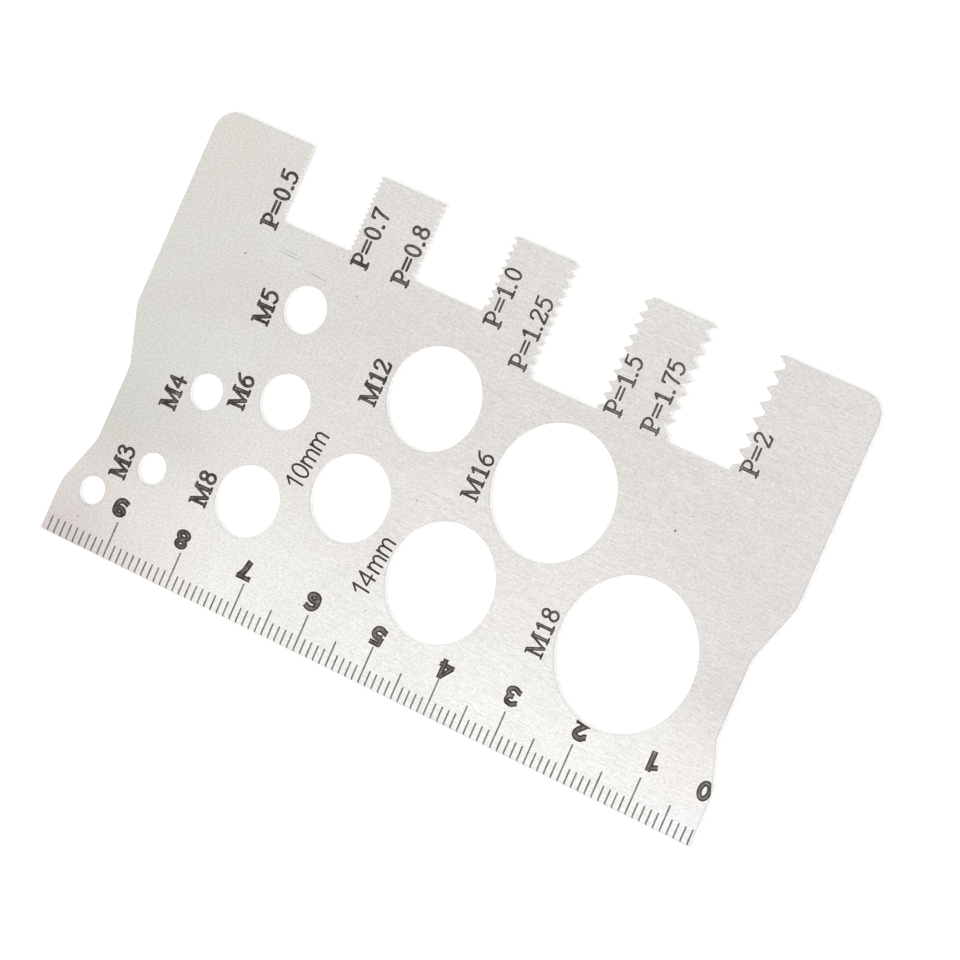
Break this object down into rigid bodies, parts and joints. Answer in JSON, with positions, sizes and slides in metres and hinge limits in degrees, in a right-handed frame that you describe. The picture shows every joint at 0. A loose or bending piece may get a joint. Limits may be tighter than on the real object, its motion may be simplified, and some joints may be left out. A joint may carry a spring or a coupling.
{
  "type": "thread pitch gauge",
  "caption": "Flat stainless sheet gauge with toothed thread pitch notches along one long edge, a millimetre ruler along the other and marked round holes for bolt sizes between them.",
  "frame": {"origin": "the middle of the plate's back face", "axes": "+X along the ruler edge from the 9 towards the 0, +Y from the ruler edge towards the notches, +Z out of the marked face"},
  "size_m": [0.1, 0.057, 0.0008],
  "materials": {
    "brushed_stainless": "brushed along the ruler edge, marks etched dark"
  },
  "bodies": {
    "root": {"gauge_plate": "brushed_stainless"}
  },
  "joints": []
}
